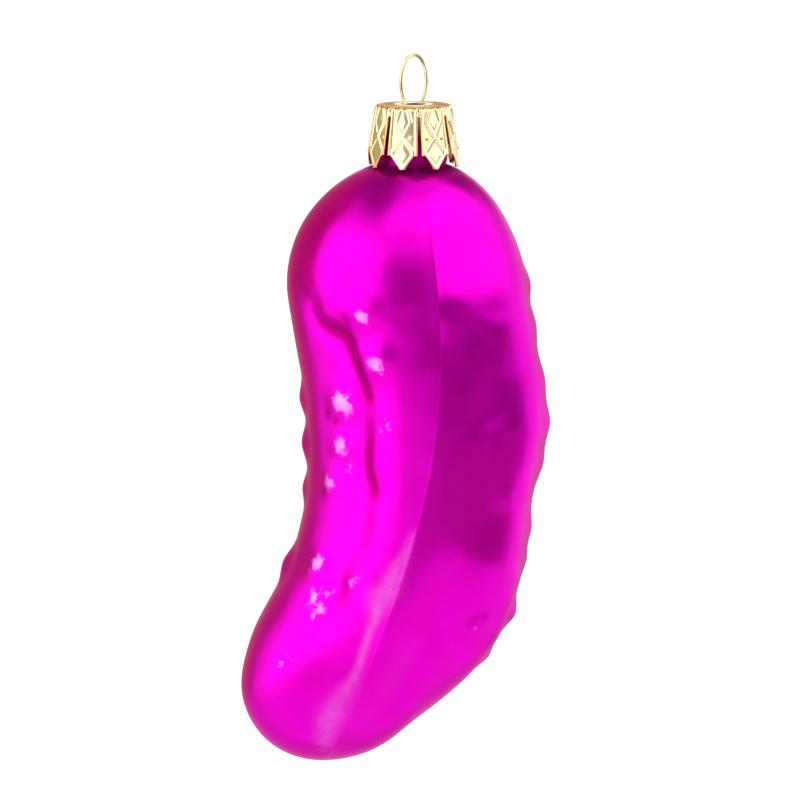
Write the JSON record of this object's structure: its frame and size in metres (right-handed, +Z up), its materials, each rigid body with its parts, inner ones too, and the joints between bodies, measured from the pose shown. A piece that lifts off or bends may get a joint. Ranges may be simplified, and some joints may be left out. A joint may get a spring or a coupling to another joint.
{
  "type": "pickle tree ornament",
  "caption": "Bent, warty pickle-shaped tree ornament of hollow blown glass in satin magenta, with a gold crown cap and a wire hanging loop.",
  "frame": {"origin": "inside top of the wire loop, the point that hangs on a hook or branch", "axes": "+Z up along the cap's axis, -Y towards the front mould seam, the pickle bends in the XZ plane with its tail towards -X"},
  "size_m": [0.0469, 0.0351, 0.1081],
  "materials": {
    "lacquered_glass": "silvered inside, satin transparent magenta lacquer outside, opaque",
    "cap_gold": "bright pale gold plate on stamped sheet",
    "wire_gold": "bright yellow gold plate on spring wire"
  },
  "bodies": {
    "hanger": {"hanger_wire": "wire_gold"},
    "cap": {"crown_cap": "cap_gold"},
    "pickle": {"glass_pickle": "lacquered_glass"}
  },
  "joints": [
    {"name": "loop_swivel", "type": "hinge", "parent": "hanger", "child": "cap", "pos_m": [0, 0, -0.0071], "axis": [0, 0, 1], "continuous": true},
    {"name": "glass_pull", "type": "slide", "parent": "cap", "child": "pickle", "axis": [0, 0, -1], "range_m": [0, 0.02]}
  ]
}
